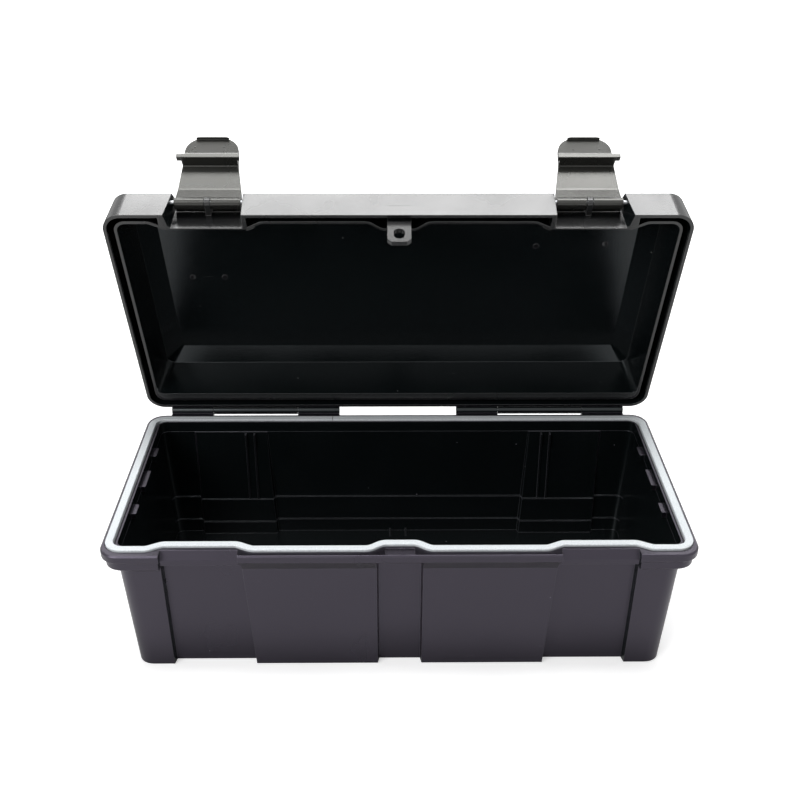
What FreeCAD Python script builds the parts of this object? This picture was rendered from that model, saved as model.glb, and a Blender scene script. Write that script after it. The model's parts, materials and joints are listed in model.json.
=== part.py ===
"""Moulded plastic toolbox, standing open: tub, lid, rim seal, two hinges and two latches.

Millimetres. X runs along the box, -Y is the front with the latches and +Z is up.
The origin is the middle of the underside. The lid and its latches are drawn
closed and then turned about their pins to the open pose.
"""
import FreeCAD, Part
import math
import os
import Sketcher

SIZES = {
    # Outside of the tub
    "rim_length": 550,
    "rim_depth": 265,
    "rim_corner": 18,
    "tub_height": 143,
    "lip_height": 9,
    "lip_edge": 1.5,
    "collar_height": 12,
    "collar_side_inset": 2.5,
    "collar_back_inset": 5,
    "collar_edge": 2,
    "brow_height": 16.7,
    "brow_inset": 5,
    "brow_root": 1,
    "body_side_inset": 11,
    "body_front_inset": 13,
    "body_corner": 15,
    "side_taper": 6.5,
    "front_taper": 3,
    "foot_edge": 1,
    "recess_depth": 7.4,
    "recess_lean": 1.5,
    "latch_recess_outer": 221.5,
    "latch_recess_inner": 147,
    "latch_recess_flare": 6.5,
    "middle_recess_half": 21.5,
    # Inside of the tub
    "wall": 3,
    "floor_thickness": 3.5,
    "side_inner_taper": 6,
    "front_inner_taper": 4.5,
    "throat_height": 12,
    "back_recess_top": 1.2,
    "back_step_high": 48,
    "back_step_low": 19,
    "back_step": 2,
    "floor_panel_half_x": 138,
    "floor_panel_half_y": 83,
    "floor_panel_rise": 1.5,
    "foot_rib_spacing": 18,
    "foot_rib_width": 1.5,
    "foot_rib_front": 94,
    "foot_rib_height": 3,
    "lug_drop": 6,
    "lug_height": 6,
    "lug_reach": 5.5,
    "lug_round": 1.5,
    "back_lug_y": 62,
    "back_lug_length": 17,
    "middle_lug_y": 9.5,
    "middle_lug_length": 30,
    "front_lug_y": -46,
    "front_lug_length": 16.5,
    "rib_x": 163.3,
    "rib_spacing": 9.5,
    "rib_width": 1.6,
    "rib_reach": 1.8,
    "rib_root": 1.5,
    "rib_top_drop": 14,
    "rib_head_length": 14,
    "rib_head_reach": 2,
    # Seal and its channel
    "seal_side_inset": 7.2,
    "seal_front_inset": 10.8,
    "seal_width": 7.4,
    "seal_height": 5,
    "seal_stand": 2.2,
    "seal_edge": 1,
    "seal_side_gap": 0.5,
    "channel_side_room": 1.8,
    "seal_corner": 13.5,
    "seal_bend": 12,
    "seal_joint_x": -72,
    "seal_joint_gap": 0.6,
    "latch_step": 7.1,
    "latch_step_outer": 218,
    "latch_step_inner": 150,
    "latch_step_run": 14,
    "middle_step": 8.5,
    "middle_step_half": 16,
    "middle_step_run": 12,
    "inner_lip": 1.6,
    # Ledges that the latches hook under
    "ledge_outer": 219.5,
    "ledge_inner": 148,
    "ledge_inset": 6,
    "ledge_height": 5.5,
    "ledge_root": 3.5,
    "ledge_lean": 0.5,
    # Slot for the padlock tab
    "slot_width": 27,
    "slot_depth": 9.7,
    "slot_web": 2.2,
    # Lid
    "lid_gap": 0.3,
    "lid_wall_height": 36.3,
    "lid_height": 51,
    "lid_skin": 3,
    "lid_taper": 3.5,
    "lid_bevel_run": 33,
    "lid_bevel_back_run": 43.5,
    "lid_top_corner": 8,
    "inner_height": 39.5,
    "inner_bevel_run": 18,
    "inner_step": 2.5,
    "inner_top_step": 0.8,
    "inner_top_corner": 3,
    "press_wall": 2.4,
    "press_lean": 8.4,
    "press_side_inset": 10.7,
    "press_front_inset": 10.3,
    "press_corner": 10,
    "press_back_inset": 22,
    "press_back_wall": 3.4,
    "press_flange": 4,
    "press_side_gap": 0.3,
    "press_step_inner": 142,
    # Latch bays in the lid
    "bay_outer": 213.5,
    "bay_inner": 145.5,
    "bay_flare": 5,
    "bay_taper": 2,
    "bay_lean": 3,
    "bay_wall": 4,
    "bay_round": 1,
    # Padlock tab
    "tab_width": 22,
    "tab_thickness": 5,
    "tab_shift": 0.8,
    "tab_drop": 30.5,
    "tab_chamfer": 4,
    "tab_hole_width": 10,
    "tab_hole_height": 14,
    "tab_hole_drop": 19.4,
    "tab_root_rise": 3,
    "tab_root_height": 13,
    "tab_root_round": 2.4,
    "tab_front_round": 1.2,
    # Hinges
    "hinge_back": 7,
    "hinge_rise": 2,
    "hinge_inner": 65,
    "hinge_first_split": 111,
    "hinge_second_split": 205,
    "hinge_outer": 251,
    "knuckle_gap": 0.4,
    "knuckle_radius": 4.7,
    "hinge_arm": 5,
    "lid_arm": 4,
    "hinge_rod_radius": 2,
    "hinge_rod_inset": 1,
    # Latches
    "latch_x": 179.5,
    "latch_axis_inset": 7.5,
    "latch_axis_rise": 28,
    "latch_barrel": 4.5,
    "latch_shoulder": 9,
    "latch_outer": 11,
    "latch_heel": 3,
    "latch_heel_gap": 0.2,
    "latch_root_width": 62,
    "latch_hook_width": 53,
    "latch_grip_width": 50,
    "latch_grip_round": 17,
    "latch_length": 77.5,
    "latch_slant": 1,
    "latch_strap": 5,
    "latch_crease": 18,
    "latch_crease_gap": 6,
    "latch_hook_gap": 0.5,
    "latch_hook_reach": 8.5,
    "latch_hook_height": 4,
    "latch_hook_ear": 4,
    "latch_ear_depth": 5.5,
    "latch_tip_reach": 13.5,
    "latch_tip_thickness": 3.2,
    "latch_tip_lip": 3.2,
    "latch_tip_lip_height": 1.5,
    "latch_grip_root": 56,
    "latch_grip_gap": 6,
    "latch_edge": 0.6,
    "latch_corner": 1,
    "latch_back_bend": 50,
    "latch_grip_bend": 8,
    "latch_crease_bend": 8,
    "latch_neck_share": 0.75,
    "latch_lug_width": 5.2,
    "latch_lug_radius": 5,
    "latch_lug_gap": 0.6,
    "latch_rod_radius": 2,
    "latch_rod_seat": 2.2,
    "latch_rod_end_gap": 0.1,
    # Fits
    "held_gap": 0.02,
    "running_gap": 0.08,
    "rod_chamfer": 0.4,
    # How far a cut runs past the solid
    "overrun": 1,
    # Open pose
    "lid_open_angle": 70,
    "latch_open_angle": 160,
}


class Size:
    """A size as a number, with the sheet formula that gives it."""

    def __init__(self, value, formula):
        self.value = value
        self.formula = formula

    def __add__(self, other):
        other = as_size(other)
        return Size(self.value + other.value, f"({self.formula} + {other.formula})")

    def __sub__(self, other):
        other = as_size(other)
        return Size(self.value - other.value, f"({self.formula} - {other.formula})")

    def __mul__(self, other):
        other = as_size(other)
        return Size(self.value * other.value, f"({self.formula} * {other.formula})")

    def __truediv__(self, other):
        other = as_size(other)
        return Size(self.value / other.value, f"({self.formula} / {other.formula})")

    def __neg__(self):
        return self * -1

    def cos(self):
        return Size(math.cos(math.radians(self.value)), f"cos({self.formula} * 1 deg)")

    def sin(self):
        return Size(math.sin(math.radians(self.value)), f"sin({self.formula} * 1 deg)")


def as_size(item):
    """A plain number as a Size."""
    return item if isinstance(item, Size) else Size(float(item), repr(float(item)))


class SizeSheet:
    """The spreadsheet of driving sizes, each read as an attribute."""

    def __init__(self, document, sizes):
        self.sheet = document.addObject("Spreadsheet::Sheet", "Sizes")
        for row, (name, number) in enumerate(sizes.items(), start=1):
            self.sheet.set(f"A{row}", name)
            self.sheet.set(f"B{row}", str(number))
            self.sheet.setAlias(f"B{row}", name)
        document.recompute()

    def __getattr__(self, name):
        return Size(float(self.sheet.get(name)), f"Sizes.{name}")


doc = FreeCAD.newDocument("toolbox")
size = SizeSheet(doc, SIZES)
ALONG_X = FreeCAD.Vector(1, 0, 0)
ALONG_Y = FreeCAD.Vector(0, 1, 0)
UPWARD = 0.9
PROFILE_TURN = FreeCAD.Rotation(0.5, 0.5, 0.5, 0.5)
FRONT_TURN = FreeCAD.Rotation(ALONG_X, 90)
SIDES = {"left": -1, "right": 1}


# Sketches

def tie(item, prop, amount):
    """Tie a property to its formula."""
    item.setExpression(prop, as_size(amount).formula)


def place(item, x=0, y=0, z=0):
    """Tie an object's position."""
    for axis, amount in zip("xyz", (x, y, z)):
        tie(item, f"Placement.Base.{axis}", amount)


def add_constraints(sketch, rules):
    """Add constraints given as (kind, arguments, amount or None), and tie the amounts."""
    first = sketch.ConstraintCount
    made = []
    for kind, arguments, amount in rules:
        value = () if amount is None else (amount.value,)
        made.append(Sketcher.Constraint(kind, *arguments, *value))
    sketch.addConstraint(made)
    for index, (kind, arguments, amount) in enumerate(rules, start=first):
        if amount is not None:
            sketch.setExpression(f"Constraints[{index}]", amount.formula)


def corner_arc(entry, leaving, way, radius, left):
    """The arc that rounds a corner between the points where it starts and ends."""
    side = 1 if left else -1
    centre = entry + FreeCAD.Vector(-way.y, way.x, 0) * (side * radius)
    ends = (entry, leaving) if left else (leaving, entry)
    first, last = [math.atan2(point.y - centre.y, point.x - centre.x) for point in ends]
    if last < first:
        last += 2 * math.pi
    return Part.ArcOfCircle(Part.Circle(centre, FreeCAD.Vector(0, 0, 1), radius), first, last)


def draw_outline(sketch, corners):
    """Draw a closed outline through corners given as (across, up, rounding)."""
    corners = [tuple(as_size(item) for item in corner) for corner in corners]
    points = [FreeCAD.Vector(across.value, up.value, 0) for across, up, _ in corners]
    count = len(corners)
    after = [(index + 1) % count for index in range(count)]
    ways = [(points[after[index]] - points[index]).normalize() for index in range(count)]
    guide = sketch.GeometryCount
    sketch.addGeometry([Part.LineSegment(points[i], points[after[i]]) for i in range(count)], True)
    entries, leavings, lefts, rules = [], [], [], []
    for index, (across, up, rounding) in enumerate(corners):
        rules.append(("Coincident", (guide + index, 2, guide + after[index], 1), None))
        rules.append(("DistanceX", (-1, 1, guide + index, 1), across))
        rules.append(("DistanceY", (-1, 1, guide + index, 1), up))
        before, ahead = ways[index - 1], ways[index]
        turn = math.atan2(before.cross(ahead).z, before.dot(ahead))
        setback = rounding.value * math.tan(abs(turn) / 2)
        entries.append(points[index] - before * setback)
        leavings.append(points[index] + ahead * setback)
        lefts.append(turn > 0)
    lines = []
    for index in range(count):
        line = Part.LineSegment(leavings[index], entries[after[index]])
        lines.append(sketch.addGeometry(line, False))
    for index, (across, up, rounding) in enumerate(corners):
        incoming, outgoing = lines[index - 1], lines[index]
        if rounding.value <= 0:
            rules.append(("Coincident", (incoming, 2, guide + index, 1), None))
            rules.append(("Coincident", (outgoing, 1, guide + index, 1), None))
            continue
        shape = corner_arc(
            entries[index], leavings[index], ways[index - 1], rounding.value, lefts[index],
        )
        arc = sketch.addGeometry(shape, False)
        first, last = (1, 2) if lefts[index] else (2, 1)
        rules.append(("PointOnObject", (incoming, 2, guide + (index - 1) % count), None))
        rules.append(("PointOnObject", (outgoing, 1, guide + index), None))
        rules.append(("Tangent", (incoming, 2, arc, first), None))
        rules.append(("Tangent", (arc, last, outgoing, 1), None))
        rules.append(("Radius", (arc,), rounding))
    add_constraints(sketch, rules)


def plan(name, corners, z):
    """A horizontal sketch of an outline at a height."""
    sketch = doc.addObject("Sketcher::SketchObject", name)
    draw_outline(sketch, corners)
    place(sketch, z=z)
    return sketch


# Solids

def loft(name, levels):
    """A solid with ruled sides through plans given as (height, corners)."""
    solid = doc.addObject("Part::Loft", name)
    solid.Sections = [plan(f"{name}_plan", corners, z) for z, corners in levels]
    solid.Solid = True
    solid.Ruled = True
    return solid


def extrude(name, sketch, length):
    """A sketch pushed along its own normal."""
    solid = doc.addObject("Part::Extrusion", name)
    solid.Base = sketch
    solid.DirMode = "Normal"
    solid.Solid = True
    tie(solid, "LengthFwd", length)
    return solid


def slab(name, corners, low, high):
    """A horizontal outline between two heights."""
    return extrude(name, plan(f"{name}_plan", corners, low), as_size(high) - low)


def bar(name, corners, across):
    """A profile in Y and Z between a pair of X."""
    sketch = doc.addObject("Sketcher::SketchObject", f"{name}_profile")
    draw_outline(sketch, corners)
    sketch.Placement.Rotation = PROFILE_TURN
    place(sketch, x=across[0])
    return extrude(name, sketch, across[1] - across[0])


def front_bar(name, outlines, back, depth):
    """Outlines in X and Z, pushed forwards from a Y by a depth."""
    sketch = doc.addObject("Sketcher::SketchObject", f"{name}_view")
    for outline in outlines:
        draw_outline(sketch, outline)
    sketch.Placement.Rotation = FRONT_TURN
    place(sketch, y=back)
    return extrude(name, sketch, depth)


def block(name, across, along, heights):
    """A box between pairs of X, Y and Z."""
    solid = doc.addObject("Part::Box", name)
    for prop, (low, high) in zip(("Length", "Width", "Height"), (across, along, heights)):
        tie(solid, prop, as_size(high) - low)
    place(solid, across[0], along[0], heights[0])
    return solid


def round_bar(name, across, y, z, radius):
    """A cylinder between a pair of X."""
    solid = doc.addObject("Part::Cylinder", name)
    solid.Placement.Rotation = FreeCAD.Rotation(ALONG_Y, 90)
    tie(solid, "Radius", radius)
    tie(solid, "Height", across[1] - across[0])
    place(solid, across[0], y, z)
    return solid


def fuse(name, solids):
    """Several solids as one."""
    result = doc.addObject("Part::MultiFuse", name)
    result.Shapes = solids
    result.Refine = True
    return result


def cut(name, base, tools):
    """A solid less one or more tools."""
    result = doc.addObject("Part::Cut", name)
    result.Base = base
    result.Tool = tools[0] if len(tools) == 1 else fuse(f"{name}_tools", tools)
    return result


def common(name, first, second):
    """What two solids share."""
    result = doc.addObject("Part::Common", name)
    result.Base = first
    result.Tool = second
    return result


# Places and turns

def on_side(side, low, high):
    """A pair of X on the right (1), or its mirror image on the left (-1)."""
    low, high = as_size(low), as_size(high)
    return (low, high) if side > 0 else (-high, -low)


def around(middle, width):
    """A pair of X on both sides of a middle."""
    return middle - width / 2, middle + width / 2


def opened(y, z, axis, angle):
    """A point in Y and Z after it opens by an angle about an axis along X."""
    forward = as_size(y) - axis[0]
    rise = as_size(z) - axis[1]
    return (
        axis[0] + forward * angle.cos() + rise * angle.sin(),
        axis[1] + rise * angle.cos() - forward * angle.sin(),
    )


def turn_open(item, base, angle):
    """Turn an object by an angle, with its own origin at base (X, Y, Z)."""
    item.Placement.Rotation = FreeCAD.Rotation(ALONG_X, -angle.value)
    item.setExpression("Placement.Rotation.Angle", f"{(-angle).formula} * 1 deg")
    place(item, *base)


# Outlines shared by the tub, the lid and the seal

def box_outline(half_x, front, back, corner, front_notches=(), back_notches=()):
    """A rounded box with notches given as (first, last, floor, lean), from the front left."""
    corners = [(-half_x, -front, corner)]
    for first, last, floor, lean in front_notches:
        corners += [(first, -front, 0), (first + lean, -floor, 0)]
        corners += [(last - lean, -floor, 0), (last, -front, 0)]
    corners += [(half_x, -front, corner), (half_x, back, corner)]
    for first, last, floor, lean in reversed(back_notches):
        corners += [(last, back, 0), (last - lean, floor, 0)]
        corners += [(first + lean, floor, 0), (first, back, 0)]
    return corners + [(-half_x, back, corner)]


def latch_notches(outer, inner, floor, lean):
    """Two notches, one at each latch."""
    return [(-outer, -inner, floor, lean), (inner, outer, floor, lean)]


def stepped_outline(half_x, front, back, corner, latch_step, latch_inner, middle_step):
    """A rounded box that steps in at the latches and at the padlock tab."""
    bend = size.seal_bend
    stop = size.latch_step_outer
    half = size.middle_step_half
    left = [
        (-(stop + size.latch_step_run), -front, bend),
        (-stop, latch_step - front, bend),
        (-latch_inner, latch_step - front, bend),
        (size.latch_step_run - latch_inner, -front, bend),
        (-(half + size.middle_step_run), -front, bend),
        (-half, middle_step - front, bend),
    ]
    right = [(-across, along, rounding) for across, along, rounding in reversed(left)]
    ends = [(half_x, -front, corner), (half_x, back, corner), (-half_x, back, corner)]
    return [(-half_x, -front, corner)] + left + right + ends


def parallel(corners, distance):
    """An anticlockwise outline moved inwards by a distance, or outwards if it is negative."""
    corners = [tuple(as_size(item) for item in corner) for corner in corners]
    points = [FreeCAD.Vector(across.value, up.value, 0) for across, up, _ in corners]
    distance = as_size(distance)
    moved = []
    for index, (across, up, rounding) in enumerate(corners):
        before = (points[index] - points[index - 1]).normalize()
        ahead = (points[(index + 1) % len(points)] - points[index]).normalize()
        share = 1 + before.dot(ahead)
        step_x = distance * (-(before.y + ahead.y) / share)
        step_y = distance * ((before.x + ahead.x) / share)
        rounding = rounding - distance if before.cross(ahead).z > 0 else rounding + distance
        moved.append((across + step_x, up + step_y, rounding))
    return moved


rim_x = size.rim_length / 2
rim_y = size.rim_depth / 2
rim_z = size.tub_height
half_seal = size.seal_width / 2
seal_bottom = rim_z + size.seal_stand - size.seal_height
seal_front = rim_y - size.seal_front_inset


def rim_route(side_inset):
    """The seal's way round the rim, with its sides at an inset."""
    return stepped_outline(
        rim_x - side_inset, seal_front, seal_front, size.seal_corner,
        size.latch_step, size.latch_step_inner, size.middle_step,
    )


seal_route = rim_route(size.seal_side_inset)
channel_side_inset = size.seal_side_inset + size.channel_side_room
channel_route = rim_route(channel_side_inset)
lip_bottom = rim_z - size.lip_height
collar_bottom = lip_bottom - size.collar_height
ledge_bottom = lip_bottom - size.ledge_height
body_y = rim_y - size.body_front_inset
recess_y = body_y - size.recess_depth
throat_inset = half_seal + size.seal_side_gap + size.inner_lip
throat_x = rim_x - channel_side_inset - throat_inset
throat_y = seal_front - throat_inset


def band(name, gap, low, high):
    """The room for the seal between two heights, with a gap on both sides of it."""
    spare = size.overrun
    outer = slab(f"{name}_outer", parallel(seal_route, -half_seal - gap), low, high)
    inner = slab(f"{name}_inner", parallel(channel_route, half_seal + gap), low - spare, high + spare)
    return cut(name, outer, [inner])


def lost_at(z):
    """How far down the tub's leaning walls a height lies, from 0 under the lip to 1."""
    return as_size(1) - as_size(z) / lip_bottom


# Base tub, outside

def back_share(z):
    """How much of their depth the back recesses keep at a height above the back wall's step."""
    top_share = size.back_recess_top / size.recess_depth
    share = (lip_bottom - z) / (lip_bottom - size.back_step_high)
    return top_share + (as_size(1) - top_share) * share


def body_level(z, edge=0, share=1):
    """The outside of the walls at a height, with the recesses, those at the back to a share."""
    lost = lost_at(z)
    half_x = rim_x - size.body_side_inset - size.side_taper * lost - edge
    half_y = body_y - size.front_taper * lost - edge
    floor = recess_y - size.front_taper * lost - edge
    inner = size.latch_recess_inner - size.latch_recess_flare * lost
    left, right = latch_notches(size.latch_recess_outer, inner, floor, size.recess_lean)
    middle = (-size.middle_recess_half, size.middle_recess_half, floor, size.recess_lean)
    back_floor = half_y - size.recess_depth * share
    behind = latch_notches(size.latch_recess_outer, inner, back_floor, size.recess_lean)
    corners = box_outline(
        half_x, half_y, half_y, size.body_corner, [left, middle, right], behind,
    )
    return z, corners


def collar_level(z, edge=0):
    """The step under the lip round the corners and the back, open along the front."""
    stop = size.latch_recess_outer
    half_x = rim_x - size.collar_side_inset - edge
    half_y = rim_y - size.collar_back_inset - edge
    corner = size.rim_corner - size.collar_side_inset / 2
    return z, box_outline(
        half_x, half_y, half_y, corner, [(-stop, stop, recess_y, size.recess_lean)],
    )


def brow_level(side, z, reach):
    """The sloping underside of the lip over a front panel, at a height."""
    inner = size.middle_recess_half
    outer = size.latch_recess_inner - size.latch_recess_flare * lost_at(z)
    low, high = on_side(side, inner, outer)
    return z, [(low, -reach, 0), (high, -reach, 0), (high, -recess_y, 0), (low, -recess_y, 0)]


channel_front = seal_front - size.latch_step + half_seal + size.seal_side_gap
ledge_back = channel_front + size.ledge_root


def lip_level(z, edge=0):
    """The outer lip of the rim, set back at the latches."""
    notches = latch_notches(size.ledge_outer, size.ledge_inner, ledge_back, size.ledge_lean)
    half_x = rim_x - edge
    half_y = rim_y - edge
    return z, box_outline(half_x, half_y, half_y, size.rim_corner - edge, notches)


tub_solids = [
    loft("tub_body", [
        body_level(as_size(0), size.foot_edge),
        body_level(size.foot_edge),
        body_level(size.back_step_high),
    ]),
    loft("tub_upper_body", [
        body_level(size.back_step_high),
        body_level(lip_bottom, share=back_share(lip_bottom)),
    ]),
    loft("tub_collar", [
        collar_level(collar_bottom, size.collar_edge),
        collar_level(collar_bottom + size.collar_edge),
        collar_level(lip_bottom),
    ]),
    loft("tub_lip", [
        lip_level(lip_bottom, size.lip_edge),
        lip_level(lip_bottom + size.lip_edge),
        lip_level(rim_z - size.lip_edge),
        lip_level(rim_z, size.lip_edge),
    ]),
]
ledge_profile = [
    (size.wall - recess_y, ledge_bottom, 0),
    (size.wall - recess_y, rim_z, 0),
    (-ledge_back, rim_z, 0),
    (size.ledge_inset - rim_y, lip_bottom, 0),
    (size.ledge_inset - rim_y, ledge_bottom, 0),
]
brow_bottom = lip_bottom - size.brow_height
brow_root = body_y - size.front_taper * lost_at(brow_bottom) - size.brow_root
for name, side in SIDES.items():
    across = on_side(side, size.ledge_inner, size.ledge_outer)
    tub_solids.append(bar(f"{name}_ledge", ledge_profile, across))
    tub_solids.append(loft(f"{name}_brow", [
        brow_level(side, brow_bottom, brow_root),
        brow_level(side, lip_bottom, rim_y - size.brow_inset),
    ]))


# Base tub, inside

def back_recess_wall(z, share):
    """The inner face of the wall behind a back recess at a height."""
    return body_y - size.front_taper * lost_at(z) - size.recess_depth * share - size.wall


def cavity_level(z, back_step=0, share=1):
    """The inside of the walls at a height, one wall inside the recesses."""
    lost = lost_at(z)
    half_x = throat_x - size.side_inner_taper * lost
    front = throat_y - size.front_inner_taper * lost
    floor = recess_y - size.wall - size.front_taper * lost
    outer = size.latch_recess_outer + size.wall
    inner = size.latch_recess_inner - size.latch_recess_flare * lost - size.wall
    half = size.middle_recess_half + size.wall
    lean = size.recess_lean
    left, right = latch_notches(outer, inner, floor, lean)
    back_floor = back_recess_wall(z, share) - back_step
    behind = latch_notches(outer, inner, back_floor, lean)
    corner = size.seal_corner - throat_inset
    corners = box_outline(
        half_x, front, front - back_step, corner, [left, (-half, half, floor, lean), right], behind,
    )
    return z, corners


throat_bottom = rim_z - size.throat_height
CAVITY_PARTS = {
    "cavity_floor": (size.floor_thickness, size.back_step_low, size.back_step * 2),
    "cavity_middle": (size.back_step_low, size.back_step_high, size.back_step),
}
cavity = []
for name, (low, high, step) in CAVITY_PARTS.items():
    cavity.append(loft(name, [cavity_level(low, step), cavity_level(high, step)]))
cavity.append(loft("cavity_upper", [
    cavity_level(size.back_step_high),
    cavity_level(throat_bottom, share=back_share(throat_bottom)),
]))
cavity.append(slab(
    "cavity_throat", parallel(channel_route, throat_inset), throat_bottom, rim_z + size.overrun,
))
tub_shell = cut("tub_shell", fuse("tub_mass", tub_solids), cavity)

tub_solids = [tub_shell, block(
    "floor_panel", (-size.floor_panel_half_x, size.floor_panel_half_x),
    (-size.floor_panel_half_y, size.floor_panel_half_y),
    (size.floor_thickness / 2, size.floor_thickness + size.floor_panel_rise),
)]
foot_wall = throat_y - size.front_inner_taper * lost_at(size.floor_thickness) - size.back_step * 2
foot_rib_profile = [
    (size.foot_rib_front, size.floor_thickness, 0),
    (size.foot_rib_front, size.floor_thickness / 2, 0),
    (foot_wall + size.rib_root, size.floor_thickness / 2, 0),
    (foot_wall + size.rib_root, size.floor_thickness + size.foot_rib_height, 0),
]
for half in (-0.5, 0.5):
    across = around(size.foot_rib_spacing * half, size.foot_rib_width)
    tub_solids.append(bar("foot_rib", foot_rib_profile, across))
LUGS = {
    "back_lug": (size.back_lug_y, size.back_lug_length),
    "middle_lug": (size.middle_lug_y, size.middle_lug_length),
    "front_lug": (size.front_lug_y, size.front_lug_length),
}
lug_top = rim_z - size.lug_drop
rib_top = rim_z - size.rib_top_drop
rib_head = rib_top - size.rib_head_length


def rib_face(z, reach):
    """A Y in front of the back wall's ribbed part, at a height above the step."""
    return back_recess_wall(z, back_share(z)) - reach


rib_profile = [
    (rib_face(size.back_step_high, size.rib_reach), size.back_step_high, 0),
    (rib_face(size.back_step_high, -size.rib_root), size.back_step_high, 0),
    (rib_face(rib_top, -size.rib_root), rib_top, 0),
    (rib_face(rib_top, size.rib_reach + size.rib_head_reach), rib_top, 0),
    (rib_face(rib_head, size.rib_reach + size.rib_head_reach), rib_head, 0),
    (rib_face(rib_head, size.rib_reach), rib_head - size.rib_head_reach, 0),
]
for name, side in SIDES.items():
    low, high = on_side(side, throat_x - size.lug_reach, throat_x + size.inner_lip)
    for lug, (middle, length) in LUGS.items():
        near, far = around(middle, length)
        points = ((low, near), (high, near), (high, far), (low, far))
        corners = [(x, y, size.lug_round) for x, y in points]
        tub_solids.append(slab(f"{name}_{lug}", corners, lug_top - size.lug_height, lug_top))
    for half in (-0.5, 0.5):
        middle = (size.rib_x + size.rib_spacing * half) * side
        tub_solids.append(bar(f"{name}_rib", rib_profile, around(middle, size.rib_width)))


# Hinge knuckles and bores

hinge = (rim_y + size.hinge_back, rim_z + size.hinge_rise)
tub_bores, lid_knuckles, lid_bores = [], [], []
for name, side in SIDES.items():
    pairs = (
        (size.hinge_inner, size.hinge_first_split),
        (size.hinge_second_split, size.hinge_outer),
    )
    for low, high in pairs:
        across = on_side(side, low, high)
        arm = (rim_z - size.hinge_arm, rim_z)
        tub_solids.append(round_bar(f"{name}_knuckle", across, *hinge, size.knuckle_radius))
        tub_solids.append(block(f"{name}_arm", across, (rim_y - size.wall, hinge[0]), arm))
    through = on_side(side, size.hinge_inner - size.overrun, size.hinge_outer + size.overrun)
    tub_bores.append(round_bar(
        f"{name}_hinge_bore", through, *hinge, size.hinge_rod_radius + size.held_gap,
    ))
    across = on_side(
        side, size.hinge_first_split + size.knuckle_gap, size.hinge_second_split - size.knuckle_gap,
    )
    arm = (hinge[1], hinge[1] + size.lid_arm)
    lid_knuckles.append(round_bar(f"{name}_lid_knuckle", across, *hinge, size.knuckle_radius))
    lid_knuckles.append(block(f"{name}_lid_arm", across, (rim_y - size.lid_skin / 2, hinge[0]), arm))
    lid_bores.append(round_bar(
        f"{name}_lid_bore", through, *hinge, size.hinge_rod_radius + size.running_gap,
    ))

channel = band("seal_channel", size.seal_side_gap, seal_bottom, rim_z + size.overrun)
slot_front = size.slot_web - rim_y
slot = block(
    "padlock_slot", around(as_size(0), size.slot_width),
    (slot_front, slot_front + size.slot_depth), (lip_bottom - size.overrun, rim_z + size.overrun),
)
base_tub = cut("base_tub", fuse("tub_full", tub_solids), [channel, slot] + tub_bores)


# Lid, drawn closed

lid_z = rim_z + size.lid_gap
top_inset = size.lid_taper + size.lid_bevel_run
wall_inset = size.lid_taper
envelope = loft("lid_envelope", [
    (lid_z, box_outline(rim_x, rim_y, rim_y, size.rim_corner)),
    (lid_z + size.lid_wall_height, box_outline(
        rim_x - wall_inset, rim_y - wall_inset, rim_y - wall_inset, size.rim_corner - wall_inset / 2,
    )),
    (lid_z + size.lid_height, box_outline(
        rim_x - top_inset, rim_y - top_inset, rim_y - wall_inset - size.lid_bevel_back_run,
        size.lid_top_corner,
    )),
])
press_x = rim_x - size.press_side_inset
press_front = rim_y - size.press_front_inset
press_back = rim_y - size.press_back_inset
half_press = size.press_wall / 2


def press_outline(lean, corner, step, back, inset):
    """The wall that presses on the seal, leaning in and with its steps at a given depth."""
    middle = step * (size.middle_step / size.latch_step)
    route = stepped_outline(
        press_x - lean, press_front - lean, back - lean, corner, step, size.press_step_inner, middle,
    )
    return parallel(route, inset)


def press_level(rise, back, inset):
    """The pressing wall at a rise above the lid's edge."""
    share = as_size(rise) / size.inner_height
    step = size.latch_step - (size.latch_step - size.inner_step) * share
    return lid_z + rise, press_outline(size.press_lean * share, size.press_corner, step, back, inset)


inner_back = press_back + half_press
top_lean = size.press_lean + size.inner_bevel_run
lid_cavity = [
    loft("lid_cavity", [
        press_level(-size.wall, inner_back, half_press),
        press_level(size.inner_height, inner_back, half_press),
    ]),
    loft("lid_inner_bevel", [
        press_level(size.inner_height, inner_back, half_press),
        (lid_z + size.lid_height - size.lid_skin, press_outline(
            top_lean, size.inner_top_corner, size.inner_top_step, inner_back, half_press,
        )),
    ]),
]

# Gap between the outer wall and the pressing wall, open at the rim

skin = size.lid_skin
gap_shoulder = size.lid_wall_height - skin
shoulder_inset = skin + size.lid_taper * (gap_shoulder / size.lid_wall_height)
bevel_height = size.lid_height - size.lid_wall_height
roof_share = (size.inner_height + skin - size.lid_wall_height) / bevel_height
roof_inset = size.lid_taper + size.lid_bevel_run * roof_share
roof_back_inset = size.lid_taper + size.lid_bevel_back_run * roof_share
gap_corner = size.rim_corner - skin
gap_outer = loft("gap_outer", [
    (lid_z - size.wall, box_outline(rim_x - skin, rim_y - skin, rim_y - skin, gap_corner)),
    (lid_z + gap_shoulder, box_outline(
        rim_x - shoulder_inset, rim_y - shoulder_inset, rim_y - shoulder_inset, gap_corner,
    )),
    (lid_z + size.inner_height, box_outline(
        rim_x - roof_inset, rim_y - roof_inset, rim_y - roof_back_inset, gap_corner,
    )),
])
back_wall = press_back + size.press_back_wall - half_press
kept = [
    loft("gap_core", [
        press_level(-size.wall * 2, back_wall, -half_press),
        press_level(size.inner_height + size.wall, back_wall, -half_press),
    ]),
    slab(
        "gap_flange",
        press_outline(as_size(0), size.press_corner, size.latch_step, press_front, -half_press),
        lid_z - size.wall * 2, lid_z + size.press_flange,
    ),
]

# Latch bays, each with a lug for the latch's rod

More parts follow.
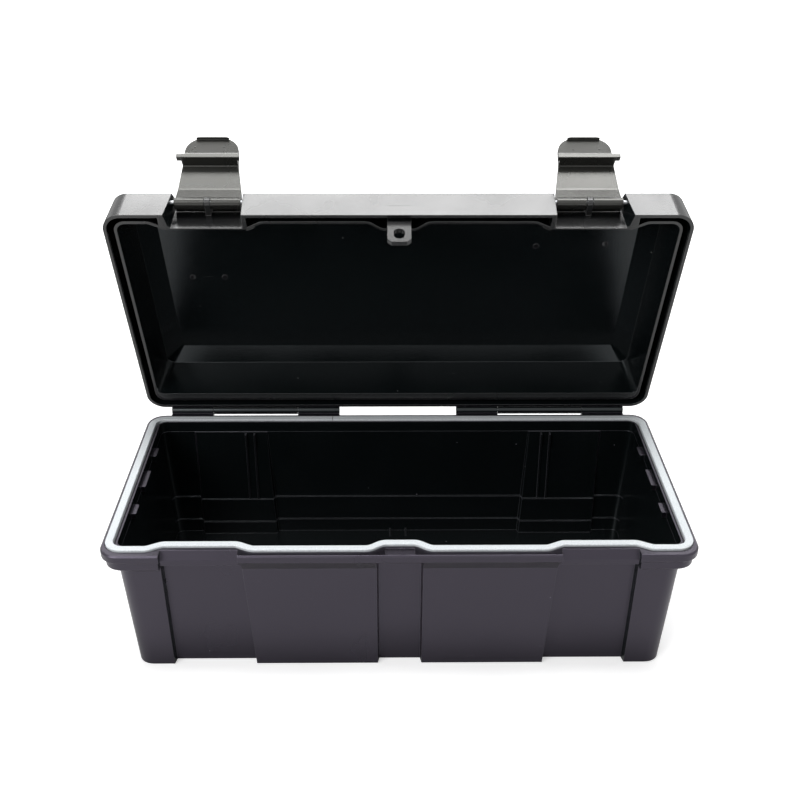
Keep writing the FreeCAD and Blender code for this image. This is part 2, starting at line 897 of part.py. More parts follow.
latch = (size.latch_axis_inset - rim_y, lid_z + size.latch_axis_rise)
tilt = as_size(180) - size.latch_open_angle
heel_reach = size.latch_outer * tilt.cos() + size.latch_heel * tilt.sin() + size.latch_heel_gap


def bay_back(rise):
    """The bay's back wall, which stops the open latch at its heel."""
    lean = size.bay_lean * ((as_size(rise) - size.latch_axis_rise) / size.inner_height)
    return latch[0] + heel_reach + lean


def bay_level(side, rise):
    """A latch bay's plan, which narrows as it rises."""
    share = as_size(rise) / size.inner_height
    outer = size.bay_outer - size.bay_taper * share
    inner = size.bay_inner + size.bay_taper * share / 2
    front = -(rim_y + size.bay_flare)
    flare = size.bay_flare * (as_size(1) - share / 2)
    back = bay_back(rise)
    bend = size.bay_round
    corners = [(inner, front, 0), (outer + flare, front, 0), (outer, back, bend), (inner, back, bend)]
    if side < 0:
        corners = [(-as_size(x), y, rounding) for x, y, rounding in reversed(corners)]
    return lid_z + rise, corners


bays, latch_lugs, latch_bores = [], [], []
rod_ends = (size.bay_inner - size.latch_rod_seat, size.bay_outer + size.latch_rod_seat)
for name, side in SIDES.items():
    walls = on_side(
        side, size.bay_inner - size.bay_wall, size.bay_outer + size.bay_flare + size.bay_wall,
    )
    kept.append(block(
        f"{name}_bay_block", walls, (-rim_y, size.latch_step + size.press_lean - press_front),
        (lid_z - size.wall * 2, lid_z + size.lid_height),
    ))
    bays.append(loft(f"{name}_bay", [
        bay_level(side, -size.wall),
        bay_level(side, size.lid_height + size.overrun),
    ]))
    reach = size.latch_lug_radius
    nose = reach - size.latch_lug_gap / 2
    lug_root = bay_back(size.latch_axis_rise) + size.lid_skin / 2
    lug_profile = [
        (lug_root, latch[1] + reach, 0),
        (latch[0] - reach, latch[1] + reach, nose),
        (latch[0] - reach, latch[1] - reach, nose),
        (lug_root, latch[1] - reach, 0),
    ]
    across = around(size.latch_x * side, size.latch_lug_width)
    latch_lugs.append(bar(f"{name}_latch_lug", lug_profile, across))
    end_gap = size.latch_rod_end_gap
    latch_bores.append(round_bar(
        f"{name}_latch_bore", on_side(side, rod_ends[0] - end_gap, rod_ends[1] + end_gap),
        *latch, size.latch_rod_radius + size.held_gap,
    ))

# Padlock tab, on a root that spans the gap

tab_y = slot_front + size.slot_depth / 2 + size.tab_shift
tab_front = tab_y - size.tab_thickness / 2
tab_back = tab_y + size.tab_thickness / 2
tab_bottom = lid_z - size.tab_drop
tab_top = lid_z + size.tab_root_rise + size.tab_root_height
root_bottom = lid_z + size.tab_root_rise
middle_wall = size.middle_step - press_front
tab_profile = [
    (-(rim_y - skin / 2), tab_top, 0),
    (-(rim_y - skin / 2), root_bottom, 0),
    (tab_front, root_bottom, size.tab_front_round),
    (tab_front, tab_bottom, 0),
    (tab_back, tab_bottom, 0),
    (tab_back, root_bottom, size.tab_root_round),
    (middle_wall, root_bottom, 0),
    (middle_wall, tab_top, 0),
]
half_tab = size.tab_width / 2
half_hole = size.tab_hole_width / 2
hole_z = lid_z - size.tab_hole_drop
hole_round = half_hole - size.held_gap
tab_outline = [
    (-half_tab, tab_top, 0),
    (-half_tab, tab_bottom + size.tab_chamfer, 0),
    (size.tab_chamfer - half_tab, tab_bottom, 0),
    (half_tab - size.tab_chamfer, tab_bottom, 0),
    (half_tab, tab_bottom + size.tab_chamfer, 0),
    (half_tab, tab_top, 0),
]
hole_outline = [
    (-half_hole, hole_z - size.tab_hole_height / 2, hole_round),
    (half_hole, hole_z - size.tab_hole_height / 2, hole_round),
    (half_hole, hole_z + size.tab_hole_height / 2, hole_round),
    (-half_hole, hole_z + size.tab_hole_height / 2, hole_round),
]
padlock_tab = common(
    "padlock_tab", bar("tab_bar", tab_profile, (-half_tab, half_tab)),
    front_bar("tab_front_view", [tab_outline, hole_outline], middle_wall + size.overrun, rim_y),
)

# Relief over the seal, so that the closed lid rests just above it

relief_top = lid_z + size.seal_stand
seal_relief = band("seal_relief", size.press_side_gap, lid_z - size.overrun, relief_top)
lid_gap_solid = cut("lid_gap_solid", gap_outer, kept)
lid_shell = cut("lid_shell", envelope, lid_cavity + [lid_gap_solid] + bays)
lid_full = fuse("lid_full", [lid_shell, padlock_tab] + latch_lugs + lid_knuckles)
lid = cut("lid", lid_full, [seal_relief] + latch_bores + lid_bores)
lid_base = opened(0, 0, hinge, size.lid_open_angle)
turn_open(lid, (0, *lid_base), size.lid_open_angle)


# Latches, drawn closed and hanging from their rods

hook_top = latch[1] - ledge_bottom + size.latch_hook_gap


def below(drop):
    """A height below the latch's rod."""
    return latch[1] - drop


def outward(reach):
    """A Y in front of the latch's rod."""
    return latch[0] - reach


barrel = size.latch_barrel
barrel_round = barrel - size.held_gap
hook_end = hook_top + size.latch_hook_height
strap_face = size.latch_outer - size.latch_slant - size.latch_strap
grip_face = size.latch_tip_reach - size.latch_tip_thickness
tip_lip_drop = size.latch_length - size.latch_tip_lip_height
latch_profile = [
    (outward(size.latch_outer), below(-size.latch_heel), size.latch_edge),
    (outward(size.latch_outer - size.latch_slant), below(hook_end), size.latch_back_bend),
    (outward(size.latch_tip_reach), below(size.latch_length), size.latch_edge),
    (outward(grip_face - size.latch_tip_lip), below(size.latch_length), size.latch_edge),
    (outward(grip_face - size.latch_tip_lip), below(tip_lip_drop), 0),
    (outward(grip_face), below(tip_lip_drop), size.latch_edge),
    (outward(size.latch_grip_gap), below(size.latch_grip_root), size.latch_grip_bend),
    (outward(-size.latch_hook_reach), below(hook_end), size.latch_edge),
    (outward(-size.latch_hook_reach), below(hook_top), size.latch_edge),
    (outward(strap_face), below(hook_top), size.latch_corner),
    (outward(size.latch_crease_gap), below(size.latch_crease), size.latch_crease_bend),
    (outward(barrel * size.latch_neck_share), below(barrel), 0),
    (outward(-barrel), below(barrel), barrel_round),
    (outward(-barrel), below(-barrel), barrel_round),
    (outward(barrel), below(-barrel), size.latch_corner),
]
ear_back = size.latch_ear_depth - size.latch_hook_reach
ear_profile = [
    (outward(-size.latch_hook_reach), below(hook_top), size.latch_edge),
    (outward(ear_back), below(hook_top), 0),
    (outward(ear_back), below(hook_end), 0),
    (outward(-size.latch_hook_reach), below(hook_end), size.latch_edge),
]
half_root = size.latch_root_width / 2
half_hook = size.latch_hook_width / 2
half_grip = size.latch_grip_width / 2
lug_room = size.latch_lug_radius + size.latch_lug_gap
view_back = outward(-(size.latch_hook_reach + size.overrun))
view_depth = size.latch_hook_reach + size.latch_tip_reach + size.overrun * 2
swing = size.latch_open_angle
latch_turn = size.lid_open_angle + swing
latch_base = opened(*opened(0, 0, latch, swing), hinge, size.lid_open_angle)
latches = []
for name, side in SIDES.items():
    middle = size.latch_x * side
    bar_solid = bar(f"{name}_latch_bar", latch_profile, around(middle, size.latch_root_width))
    outline = [
        (middle - half_root, below(-lug_room), 0),
        (middle - half_root, below(size.latch_shoulder), 0),
        (middle - half_hook, below(hook_top), 0),
        (middle - half_grip, below(size.latch_length), size.latch_grip_round),
        (middle + half_grip, below(size.latch_length), size.latch_grip_round),
        (middle + half_hook, below(hook_top), 0),
        (middle + half_root, below(size.latch_shoulder), 0),
        (middle + half_root, below(-lug_room), 0),
    ]
    view = front_bar(f"{name}_latch_view", [outline], view_back, view_depth)
    ears = on_side(
        side, size.latch_x - half_hook - size.latch_hook_ear / 2,
        size.latch_x + half_hook + size.latch_hook_ear,
    )
    blank = fuse(f"{name}_latch_blank", [
        common(f"{name}_latch_form", bar_solid, view),
        bar(f"{name}_latch_ears", ear_profile, ears),
    ])
    split = block(
        f"{name}_latch_split", around(middle, size.latch_lug_width + size.latch_lug_gap * 2),
        (outward(size.latch_outer + size.overrun), outward(-lug_room)),
        (below(lug_room), below(-lug_room)),
    )
    bore = round_bar(
        f"{name}_latch_rod_bore", around(middle, size.latch_root_width + size.overrun * 2),
        *latch, size.latch_rod_radius + size.running_gap,
    )
    turned_latch = cut(f"latch_{name}", blank, [split, bore])
    turn_open(turned_latch, (0, *latch_base), latch_turn)
    latches.append(turned_latch)


# Steel rods and the seal

def origin_plane(body, role):
    """One of a body's own origin planes."""
    return next(plane for plane in body.Origin.OriginFeatures if plane.Role == role)


def body_sketch(body, name, role):
    """A sketch on one of a body's own planes."""
    sketch = body.newObject("Sketcher::SketchObject", name)
    sketch.AttachmentSupport = (origin_plane(body, role), "")
    sketch.MapMode = "FlatFace"
    return sketch


def rod(name, length, radius):
    """A rod along X from its own origin, with chamfered ends."""
    body = doc.addObject("PartDesign::Body", name)
    sketch = body_sketch(body, f"{name}_circle", "YZ_Plane")
    sketch.addGeometry(Part.Circle(FreeCAD.Vector(), FreeCAD.Vector(0, 0, 1), radius.value), False)
    add_constraints(sketch, [("Coincident", (0, 3, -1, 1), None), ("Radius", (0,), radius)])
    pad = body.newObject("PartDesign::Pad", f"{name}_pad")
    pad.Profile = sketch
    tie(pad, "Length", length)
    doc.recompute()
    faces = [
        f"Face{index}" for index, face in enumerate(pad.Shape.Faces, start=1)
        if isinstance(face.Surface, Part.Plane)
    ]
    chamfer = body.newObject("PartDesign::Chamfer", f"{name}_chamfer")
    chamfer.Base = (pad, faces)
    tie(chamfer, "Size", size.rod_chamfer)
    return body


rods = []
for name, side in SIDES.items():
    across = on_side(
        side, size.hinge_inner + size.hinge_rod_inset, size.hinge_outer - size.hinge_rod_inset,
    )
    hinge_pin = rod(f"hinge_pin_{name}", across[1] - across[0], size.hinge_rod_radius)
    place(hinge_pin, across[0], *hinge)
    across = on_side(side, *rod_ends)
    latch_pin = rod(f"latch_pin_{name}", across[1] - across[0], size.latch_rod_radius)
    turn_open(latch_pin, (across[0], *opened(*latch, hinge, size.lid_open_angle)), size.lid_open_angle)
    rods += [hinge_pin, latch_pin]


def make_seal():
    """The grey strip in the rim's channel, with its butt joint at the back."""
    body = doc.addObject("PartDesign::Body", "rim_seal")
    outside = body_sketch(body, "seal_outside", "XY_Plane")
    draw_outline(outside, parallel(seal_route, -half_seal))
    pad = body.newObject("PartDesign::Pad", "seal_pad")
    pad.Profile = outside
    tie(pad, "Length", size.seal_height)
    inside = body_sketch(body, "seal_inside", "XY_Plane")
    draw_outline(inside, parallel(seal_route, half_seal))
    opening = body.newObject("PartDesign::Pocket", "seal_opening")
    opening.Profile = inside
    opening.Type = "ThroughAll"
    opening.Reversed = True
    doc.recompute()
    top = [
        f"Face{index}" for index, face in enumerate(opening.Shape.Faces, start=1)
        if face.normalAt(0, 0).z > UPWARD
    ]
    edge = body.newObject("PartDesign::Fillet", "seal_edges")
    edge.Base = (opening, top)
    tie(edge, "Radius", size.seal_edge)
    joint = body_sketch(body, "seal_joint", "XY_Plane")
    near, far = around(size.seal_joint_x, size.seal_joint_gap)
    inner = seal_front - half_seal - size.overrun
    outer = seal_front + half_seal + size.overrun
    draw_outline(joint, [(near, inner, 0), (far, inner, 0), (far, outer, 0), (near, outer, 0)])
    pocket = body.newObject("PartDesign::Pocket", "seal_joint_cut")
    pocket.Profile = joint
    pocket.Type = "ThroughAll"
    pocket.Reversed = True
    place(body, z=seal_bottom)
    return body


seal = make_seal()


# Check and write

doc.recompute()
nodes = {item.Name: item for item in [base_tub, lid, seal, *latches, *rods]}
for item in doc.Objects:
    if "Invalid" in item.State or "Error" in item.State:
        raise RuntimeError(f"{item.Name} failed: {item.State}")
for name, item in nodes.items():
    item.Label = name
    if item.Shape.isNull() or not item.Shape.isValid() or len(item.Shape.Solids) != 1:
        raise RuntimeError(f"{name} is not one valid solid")
os.makedirs("parts", exist_ok=True)
for name, item in nodes.items():
    item.Shape.exportStep(f"parts/{name}.step")
    box = item.Shape.BoundBox
    spans = f"{box.XLength:.1f} x {box.YLength:.1f} x {box.ZLength:.1f}"
    print(f"{name}: {item.Shape.Volume / 1000:.1f} cm3, {spans}")
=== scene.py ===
# Black moulded toolbox, open, with its pale rim seal and its two latches turned up
import json
import math
import bmesh
import bpy
from mathutils import Matrix, Vector


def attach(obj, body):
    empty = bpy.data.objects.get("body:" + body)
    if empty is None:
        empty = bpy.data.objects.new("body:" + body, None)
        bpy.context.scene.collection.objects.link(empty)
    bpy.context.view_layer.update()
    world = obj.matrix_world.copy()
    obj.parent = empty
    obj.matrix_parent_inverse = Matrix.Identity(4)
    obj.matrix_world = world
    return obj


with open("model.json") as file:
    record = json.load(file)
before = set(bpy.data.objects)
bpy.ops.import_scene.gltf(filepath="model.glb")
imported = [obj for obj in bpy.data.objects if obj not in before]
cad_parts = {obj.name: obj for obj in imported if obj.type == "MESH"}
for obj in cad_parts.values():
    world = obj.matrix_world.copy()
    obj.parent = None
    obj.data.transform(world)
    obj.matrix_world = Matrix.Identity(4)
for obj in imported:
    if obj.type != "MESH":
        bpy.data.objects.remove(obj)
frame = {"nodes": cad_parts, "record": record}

MM = 0.001
SCENE = bpy.context.scene
NODES = frame["nodes"]
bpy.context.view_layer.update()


def linear(code):
    """A colour written as sRGB hex, turned to the linear values that a shader takes."""
    parts = [int(code[i:i + 2], 16) / 255 for i in (1, 3, 5)]
    return [p / 12.92 if p <= 0.04045 else ((p + 0.055) / 1.055) ** 2.4 for p in parts] + [1.0]


def add(tree, kind, settings=None, inputs=None):
    """Adds one shader node, with its settings, its fixed input values and its links."""
    node = tree.nodes.new("ShaderNode" + kind)
    for name, value in (settings or {}).items():
        setattr(node, name, value)
    for name, value in (inputs or {}).items():
        if isinstance(value, bpy.types.NodeSocket):
            tree.links.new(value, node.inputs[name])
        else:
            node.inputs[name].default_value = value
    return node


def new_material(name):
    """An empty material with its output node."""
    material = bpy.data.materials.new(name)
    material.use_nodes = True
    material.node_tree.nodes.clear()
    return material, material.node_tree, add(material.node_tree, "OutputMaterial")


# Sizes of the plastic's patterns. The real grain is near 0.4 mm, and each plastic draws it
# coarser, by its own grain, so that it shows in the picture
GRAIN_HEIGHT = 0.2 * MM
KNOCK_SPACING = 11 * MM
RUB_PATCH = 60 * MM
RUB_WIDTH = 6 * MM
RUB_STRETCH = (0.2, 1.0, 1.7)
SINK_SPACING, SINK_DEPTH = 90 * MM, 2 * MM
# Painted shade for the faces inside a hollow moulding: a darker, bluer colour and a darker glint
INSIDE_SHADE_COLOUR, INSIDE_SHADE_GLINT = "#0a0e0f", "#c6cdd0"


# Moulded polypropylene or nylon: near black, with the eroded grain of the mould, a satin
# shine, softly rounded edges that catch the light and are painted paler, partly as wear and partly
# as a painted highlight, a few specks and rub marks from use, and painted shade on the faces inside
# a hollow moulding. centre is the middle of a hollow moulding; a moulding without an inside has none. grain
# is a size, depth the grain's strength, rubs the share of cells with a knock, edge a radius
def moulded_plastic(name, centre, colour, worn_and_highlight, glint, grain, depth, rough, rubs, edge):
    material, tree, output = new_material(name)
    place = add(tree, "TexCoord").outputs["Object"]

    # The mould's edges are rounded by under a millimetre, and are painted paler: partly wear from handling,
    # partly a painted highlight along the edges
    rounded = add(tree, "Bevel", {"samples": 6}, {"Radius": edge}).outputs[0]
    flat = add(tree, "NewGeometry").outputs["True Normal"]
    agree = add(tree, "VectorMath", {"operation": "DOT_PRODUCT"}, {
        0: rounded, 1: flat}).outputs["Value"]
    rim = add(tree, "MapRange", None, {
        "Value": agree, "From Min": 0.82, "From Max": 0.99, "To Min": 0.35, "To Max": 0.0}).outputs[0]

    # The faces turned to the middle are smoother, as the mould's core is polished, and are painted darker:
    # a painted shade inside the hollow. The face's direction is taken in the part's own space, so that it
    # holds when a body turns
    from_centre = add(tree, "VectorMath", {"operation": "SUBTRACT"}, {
        0: place, 1: centre or (0, 0, 0)}).outputs[0]
    own_flat = add(tree, "VectorTransform", {
        "vector_type": "NORMAL", "convert_from": "WORLD", "convert_to": "OBJECT"}, {0: flat}).outputs[0]
    facing = add(tree, "VectorMath", {"operation": "DOT_PRODUCT"}, {
        0: from_centre, 1: own_flat}).outputs["Value"]
    inside_shade_and_polish = add(tree, "MapRange", None, {
        "Value": facing, "From Min": -6 * MM, "From Max": -1 * MM,
        "To Min": 1.0 if centre else 0.0, "To Max": 0.0}).outputs[0]

    # Dust and small knocks, about 1 mm across, in a few of the pattern's cells
    cells = add(tree, "TexVoronoi", None, {"Vector": place, "Scale": 1 / KNOCK_SPACING})
    spot = add(tree, "MapRange", None, {
        "Value": cells.outputs["Distance"], "From Min": 0.03, "From Max": 0.07,
        "To Min": 1.0, "To Max": 0.0}).outputs[0]
    pick = add(tree, "SeparateColor", None, {"Color": cells.outputs["Color"]}).outputs[0]
    chosen = add(tree, "Math", {"operation": "GREATER_THAN"}, {0: pick, 1: 1 - rubs}).outputs[0]
    speck = add(tree, "Math", {"operation": "MULTIPLY"}, {0: spot, 1: chosen}).outputs[0]

    # Rub marks, drawn out along the box by handling, in patches
    mottle = add(tree, "TexNoise", None, {
        "Vector": place, "Scale": 1 / RUB_PATCH, "Detail": 2.0}).outputs["Fac"]
    patch = add(tree, "MapRange", None, {"Value": mottle, "From Min": 0.5, "From Max": 0.66}).outputs[0]
    drawn = add(tree, "Mapping", None, {"Vector": place, "Scale": RUB_STRETCH}).outputs[0]
    streak = add(tree, "TexNoise", None, {
        "Vector": drawn, "Scale": 1 / RUB_WIDTH, "Detail": 4.0, "Roughness": 0.7}).outputs["Fac"]
    line = add(tree, "MapRange", None, {
        "Value": streak, "From Min": 0.66, "From Max": 0.82, "To Max": 0.4}).outputs[0]
    rub = add(tree, "Math", {"operation": "MULTIPLY"}, {0: line, 1: patch}).outputs[0]

    # Marks, and the edges with their painted highlight, are paler than the plastic; the inside is painted
    # darker and a little bluer, with a darker glint, as painted shade
    used = add(tree, "Math", {"operation": "MAXIMUM"}, {0: speck, 1: rub}).outputs[0]
    mark = add(tree, "Math", {"operation": "MAXIMUM"}, {0: used, 1: rim}).outputs[0]
    ground = add(tree, "Mix", {"data_type": "RGBA"}, {
        0: inside_shade_and_polish, 6: linear(colour), 7: linear(INSIDE_SHADE_COLOUR)}).outputs[2]
    base = add(tree, "Mix", {"data_type": "RGBA"}, {0: mark, 6: ground, 7: linear(worn_and_highlight)}).outputs[2]
    tint = add(tree, "Mix", {"data_type": "RGBA"}, {
        0: inside_shade_and_polish, 6: linear(glint), 7: linear(INSIDE_SHADE_GLINT)}).outputs[2]

    # Grain, with the specks standing a little out of it
    fine = add(tree, "TexNoise", None, {
        "Vector": place, "Scale": 1 / grain, "Detail": 3.0, "Roughness": 0.65}).outputs["Fac"]
    height = add(tree, "Math", {"operation": "MULTIPLY_ADD"}, {0: speck, 1: 0.6, 2: fine}).outputs[0]
    bump = add(tree, "Bump", None, {
        "Strength": depth, "Distance": GRAIN_HEIGHT, "Height": height, "Normal": rounded}).outputs[0]

    # Walls of this size sink and wave a little as they cool
    wave = add(tree, "TexNoise", None, {
        "Vector": place, "Scale": 1 / SINK_SPACING, "Detail": 1.0}).outputs["Fac"]
    normal = add(tree, "Bump", None, {
        "Strength": 0.15, "Distance": SINK_DEPTH, "Height": wave, "Normal": bump}).outputs[0]

    # The shine varies in patches, is duller on specks and brighter on the polished inside
    patchy = add(tree, "MapRange", None, {
        "Value": mottle, "From Min": 0.3, "From Max": 0.7,
        "To Min": rough - 0.03, "To Max": rough + 0.04}).outputs[0]
    dusty = add(tree, "Math", {"operation": "MULTIPLY_ADD"}, {0: speck, 1: 0.2, 2: patchy}).outputs[0]
    sheen = add(tree, "Math", {"operation": "MULTIPLY_ADD"}, {0: inside_shade_and_polish, 1: -0.08, 2: dusty}).outputs[0]
    shader = add(tree, "BsdfPrincipled", None, {
        "Base Color": base, "Roughness": sheen, "IOR": 1.49, "Normal": normal,
        "Specular IOR Level": 0.8, "Specular Tint": tint})
    tree.links.new(shader.outputs[0], output.inputs["Surface"])
    return material


# Foamed rubber, extruded: a soft light grey with fine pores and no shine. The cells of such
# foam are near 0.5 mm; they are drawn at 1.2 mm so that they show
FOAM_EDGE = 0.8 * MM
FOAM_CELL, FOAM_CELL_DEPTH = 1.2 * MM, 0.15 * MM
FOAM_CLOUD = 45 * MM


def foamed_rubber():
    material, tree, output = new_material("extruded_foam_rubber")
    place = add(tree, "TexCoord").outputs["Object"]
    rounded = add(tree, "Bevel", {"samples": 6}, {"Radius": FOAM_EDGE}).outputs[0]
    cell = add(tree, "TexNoise", None, {
        "Vector": place, "Scale": 1 / FOAM_CELL, "Detail": 4.0, "Roughness": 0.7}).outputs["Fac"]
    pores = add(tree, "MapRange", None, {"Value": cell, "From Min": 0.35, "From Max": 0.6}).outputs[0]
    clouds = add(tree, "TexNoise", None, {"Vector": place, "Scale": 1 / FOAM_CLOUD}).outputs["Fac"]
    pale = add(tree, "Mix", {"data_type": "RGBA"}, {
        0: clouds, 6: linear("#dbe0e3"), 7: linear("#e6eaec")}).outputs[2]
    base = add(tree, "Mix", {"data_type": "RGBA"}, {0: pores, 6: linear("#c8cdd1"), 7: pale}).outputs[2]
    bump = add(tree, "Bump", None, {
        "Strength": 0.35, "Distance": FOAM_CELL_DEPTH, "Height": pores, "Normal": rounded}).outputs[0]
    shader = add(tree, "BsdfPrincipled", None, {
        "Base Color": base, "Roughness": 0.85, "IOR": 1.5, "Normal": bump})
    tree.links.new(shader.outputs[0], output.inputs["Surface"])
    return material


# Drawn steel rod: grey metal with fine lines along its length, which the die leaves
DIE_LINE, DIE_LINE_DEPTH = 0.4 * MM, 0.05 * MM
DIE_STRETCH = (0.05, 1.0, 1.0)


def drawn_steel():
    material, tree, output = new_material("drawn_steel_rod")
    place = add(tree, "TexCoord").outputs["Object"]
    along = add(tree, "Mapping", None, {"Vector": place, "Scale": DIE_STRETCH}).outputs[0]
    streak = add(tree, "TexNoise", None, {
        "Vector": along, "Scale": 1 / DIE_LINE, "Detail": 3.0, "Roughness": 0.6}).outputs["Fac"]
    base = add(tree, "Mix", {"data_type": "RGBA"}, {
        0: streak, 6: linear("#8f9194"), 7: linear("#b4b6b8")}).outputs[2]
    rough = add(tree, "MapRange", None, {
        "Value": streak, "From Min": 0.3, "From Max": 0.7, "To Min": 0.25, "To Max": 0.42}).outputs[0]
    bump = add(tree, "Bump", None, {
        "Strength": 0.2, "Distance": DIE_LINE_DEPTH, "Height": streak}).outputs[0]
    shader = add(tree, "BsdfPrincipled", None, {
        "Base Color": base, "Metallic": 1.0, "Roughness": rough, "Normal": bump})
    tree.links.new(shader.outputs[0], output.inputs["Surface"])
    return material


TUB_CENTRE = (0, 0, 0.09)
LID_CENTRE = (0, 0.115, 0.285)
TUB = moulded_plastic(
    "moulded_polypropylene_tub", TUB_CENTRE, colour="#0d0b0f", worn_and_highlight="#6a666e", glint="#efe5ff",
    grain=1.3 * MM, depth=0.5, rough=0.3, rubs=0.05, edge=0.8 * MM)
LID = moulded_plastic(
    "moulded_polypropylene_lid", LID_CENTRE, colour="#060708", worn_and_highlight="#6a6a6a", glint="#ffffff",
    grain=1.3 * MM, depth=0.32, rough=0.25, rubs=0.04, edge=0.8 * MM)
SATIN = moulded_plastic(
    "moulded_nylon", None, colour="#10100e", worn_and_highlight="#6f6f6c", glint="#fffffa",
    grain=1.0 * MM, depth=0.16, rough=0.27, rubs=0.03, edge=0.6 * MM)
POLISHED = moulded_plastic(
    "moulded_polypropylene_mark", None, colour="#101012", worn_and_highlight="#6a686c", glint="#ffffff",
    grain=0.8 * MM, depth=0.1, rough=0.2, rubs=0.0, edge=0.1 * MM)

# The first word that is found in a node's name gives its finish, and the tub has none of them
FINISHES = {"pin": drawn_steel(), "seal": foamed_rubber(), "latch": SATIN, "lid": LID}

for name, node in NODES.items():
    node.data.materials.clear()
    node.data.materials.append(next((FINISHES[word] for word in FINISHES if word in name), TUB))


# Small moulded marks, given where they lie with the lid and the latches closed, in millimetres
HINGE = Vector(next(joint["pos_m"] for joint in frame["record"]["behaviour"]["joints"]
                    if joint["name"] == "lid_hinge"))
LID_OPEN, LATCH_OPEN = math.radians(-70), math.radians(-160)
LATCH_AXIS = Vector((0, -125, 171.3)) * MM

# Ejector marks: how far right and back each lies on the lid's inner face, and their sizes
LID_CEILING = 191.3
EJECTOR_MARKS = [(-211.2, -15.0), (-178.3, -15.0), (137.9, -55.6), (206.9, -58.1)]
MARK_RADIUS, MARK_STAND = 3.2 * MM, 0.25 * MM
MARK_BORDER, MARK_HOLLOW = 0.5 * MM, 0.08 * MM

# Grip dots: how far right each lies, and how far it hangs below the latch's axis
GRIP_DOTS = {
    "left": [(-196.0, 66.2), (-198.0, 63.8), (-194.5, 60.2), (-168.0, 66.2), (-168.0, 60.2)],
    "right": [(168.5, 63.0), (194.0, 63.8)],
}
DOT_RADIUS, DOT_FLATNESS = 0.9 * MM, 0.6
# The tab's inner face leans out from the latch's axis, from its root to its end
ROOT_OUT, ROOT_DROP = 6.0, 56.0
END_OUT, END_DROP = 10.3, 76.0


def turned(centre, angle):
    """A turn about an axis along X through a centre."""
    return Matrix.Translation(centre) @ Matrix.Rotation(angle, 4, "X") @ Matrix.Translation(-centre)


def new_piece(name, shape, material):
    """A piece from a finished bmesh, smooth shaded, at the origin."""
    bmesh.ops.recalc_face_normals(shape, faces=shape.faces)
    mesh = bpy.data.meshes.new(name)
    shape.to_mesh(mesh)
    shape.free()
    mesh.polygons.foreach_set("use_smooth", [True] * len(mesh.polygons))
    mesh.materials.append(material)
    piece = bpy.data.objects.new(name, mesh)
    SCENE.collection.objects.link(piece)
    return piece


def ejector_marks():
    """Shallow round marks that the mould's ejector pins leave on the lid's inner face."""
    shape = bmesh.new()
    for x, y in EJECTOR_MARKS:
        place = turned(HINGE, LID_OPEN) @ Matrix.Translation((x * MM, y * MM, LID_CEILING * MM))
        disc = bmesh.ops.create_cone(
            shape, cap_ends=True, segments=32, radius1=MARK_RADIUS - MARK_STAND / 2,
            radius2=MARK_RADIUS, depth=MARK_STAND * 2, matrix=place)
        caps = {face for vert in disc["verts"] for face in vert.link_faces if len(face.verts) > 4}
        bmesh.ops.inset_region(shape, faces=list(caps), thickness=MARK_BORDER, depth=-MARK_HOLLOW)
    return new_piece("lid_ejector_marks", shape, POLISHED)


def grip_dots(side):
    """Low domes on the inner face of a latch's finger tab."""
    shape = bmesh.new()
    for x, drop in GRIP_DOTS[side]:
        share = (drop - ROOT_DROP) / (END_DROP - ROOT_DROP)
        out = ROOT_OUT + (END_OUT - ROOT_OUT) * share
        closed = Vector((x * MM, LATCH_AXIS.y - out * MM, LATCH_AXIS.z - drop * MM))
        place = turned(HINGE, LID_OPEN) @ turned(LATCH_AXIS, LATCH_OPEN) @ Matrix.Translation(closed)
        bmesh.ops.create_uvsphere(
            shape, u_segments=16, v_segments=8, radius=DOT_RADIUS,
            matrix=place @ Matrix.Diagonal((1.0, DOT_FLATNESS, 1.0, 1.0)))
    return new_piece(f"latch_{side}_grip_dots", shape, SATIN)


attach(ejector_marks(), "lid")
for side in GRIP_DOTS:
    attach(grip_dots(side), f"latch_{side}")


# Floor: painted board. For the camera it also glows, a painted glow that is weaker near the box,
# where the box's soft shadow shows, and plain white further off; for the lamps it is a plain pale surface
FLOOR_HALF = 8.0
NEAR_BOX, FAR_FROM_BOX = 0.5, 1.6
floor_material, floor_tree, floor_output = new_material("painted_board")
camera_ray = add(floor_tree, "LightPath").outputs["Is Camera Ray"]
board = add(floor_tree, "BsdfDiffuse", None, {"Color": linear("#e6e6e6")})
spot = add(floor_tree, "TexCoord").outputs["Object"]
away = add(floor_tree, "VectorMath", {"operation": "LENGTH"}, {0: spot}).outputs["Value"]
painted_glow_level = add(floor_tree, "MapRange", None, {
    "Value": away, "From Min": NEAR_BOX, "From Max": FAR_FROM_BOX, "To Min": 0.52, "To Max": 1.0}).outputs[0]
seen = add(floor_tree, "Math", {"operation": "MULTIPLY"}, {0: camera_ray, 1: painted_glow_level}).outputs[0]
glow = add(floor_tree, "Emission", None, {"Color": linear("#ffffff"), "Strength": seen})
both = add(floor_tree, "AddShader", None, {0: board.outputs[0], 1: glow.outputs[0]})
floor_tree.links.new(both.outputs[0], floor_output.inputs["Surface"])
floor_shape = bmesh.new()
bmesh.ops.create_grid(floor_shape, x_segments=1, y_segments=1, size=FLOOR_HALF)
new_piece("floor", floor_shape, floor_material)

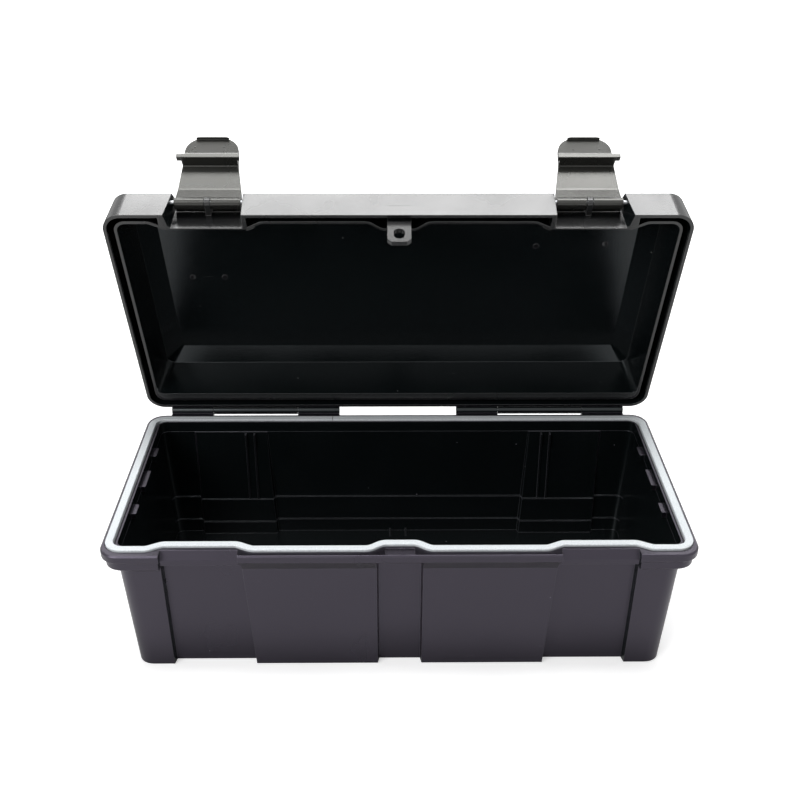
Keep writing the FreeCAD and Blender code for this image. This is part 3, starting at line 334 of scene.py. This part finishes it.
# Room: white where the camera or a shiny surface looks at it, and a low even fill otherwise
FILL_LEVEL = 0.15
world = bpy.data.worlds.new("studio")
world.use_nodes = True
room = world.node_tree
room.nodes.clear()
rays = add(room, "LightPath").outputs
looked = add(room, "Math", {"operation": "MAXIMUM"}, {0: rays["Is Camera Ray"], 1: rays["Is Glossy Ray"]})
any_look = add(room, "Math", {"operation": "MAXIMUM"}, {
    0: looked.outputs[0], 1: rays["Is Transmission Ray"]})
level = add(room, "MapRange", None, {
    "Value": any_look.outputs[0], "To Min": FILL_LEVEL, "To Max": 1.0}).outputs[0]
fill = add(room, "Background", None, {"Color": linear("#ffffff"), "Strength": level})
add(room, "OutputWorld", None, {"Surface": fill.outputs[0]})
SCENE.world = world


def softbox(name, place, target, size, power):
    """A soft rectangular lamp at place, turned to target."""
    light = bpy.data.lights.new(name, "AREA")
    light.shape, light.size, light.size_y = "RECTANGLE", size[0], size[1]
    light.energy = power
    lamp = bpy.data.objects.new(name, light)
    lamp.location = place
    lamp.rotation_euler = (Vector(target) - Vector(place)).to_track_quat("-Z", "Y").to_euler()
    SCENE.collection.objects.link(lamp)


# The lid's front face mirrors the first lamp, and the latches mirror the two overhead ones
softbox("key_behind", (0.0, 1.42, 1.84), (0, 0.06, 0.4), (1.8, 0.62), 24)
softbox("overhead_left", (-0.42, 0.06, 2.1), (-0.18, 0.1, 0.4), (0.7, 0.95), 14)
softbox("overhead_right", (0.42, 0.06, 2.1), (0.18, 0.1, 0.4), (0.7, 0.95), 21)
softbox("fill_left", (-1.3, -1.5, 1.5), (0, 0, 0.15), (1.2, 1.2), 30)

# Camera: the photograph's own place, found from the box's edges
PITCH, TURN, ROLL = math.radians(32.1049), math.radians(0.6591), math.radians(-0.2006)
CAMERA_PLACE = (-0.009553, -0.921315, 0.725408)
SENSOR, LENS, SHIFT_UP = 36.0, 48.605, 0.0929
ahead = Vector((math.sin(TURN) * math.cos(PITCH), math.cos(TURN) * math.cos(PITCH), -math.sin(PITCH)))
across = Vector((math.cos(TURN), -math.sin(TURN), 0))
down = ahead.cross(across)
right = math.cos(ROLL) * across + math.sin(ROLL) * down
below = math.cos(ROLL) * down - math.sin(ROLL) * across
camera_data = bpy.data.cameras.new("camera")
camera_data.sensor_width = SENSOR
camera_data.lens = LENS
camera_data.shift_y = SHIFT_UP
camera = bpy.data.objects.new("camera", camera_data)
camera.matrix_world = (Matrix.Translation(CAMERA_PLACE)
                       @ Matrix((right, -below, -ahead)).transposed().to_4x4())
SCENE.collection.objects.link(camera)
SCENE.camera = camera

SCENE.view_settings.view_transform = "Standard"
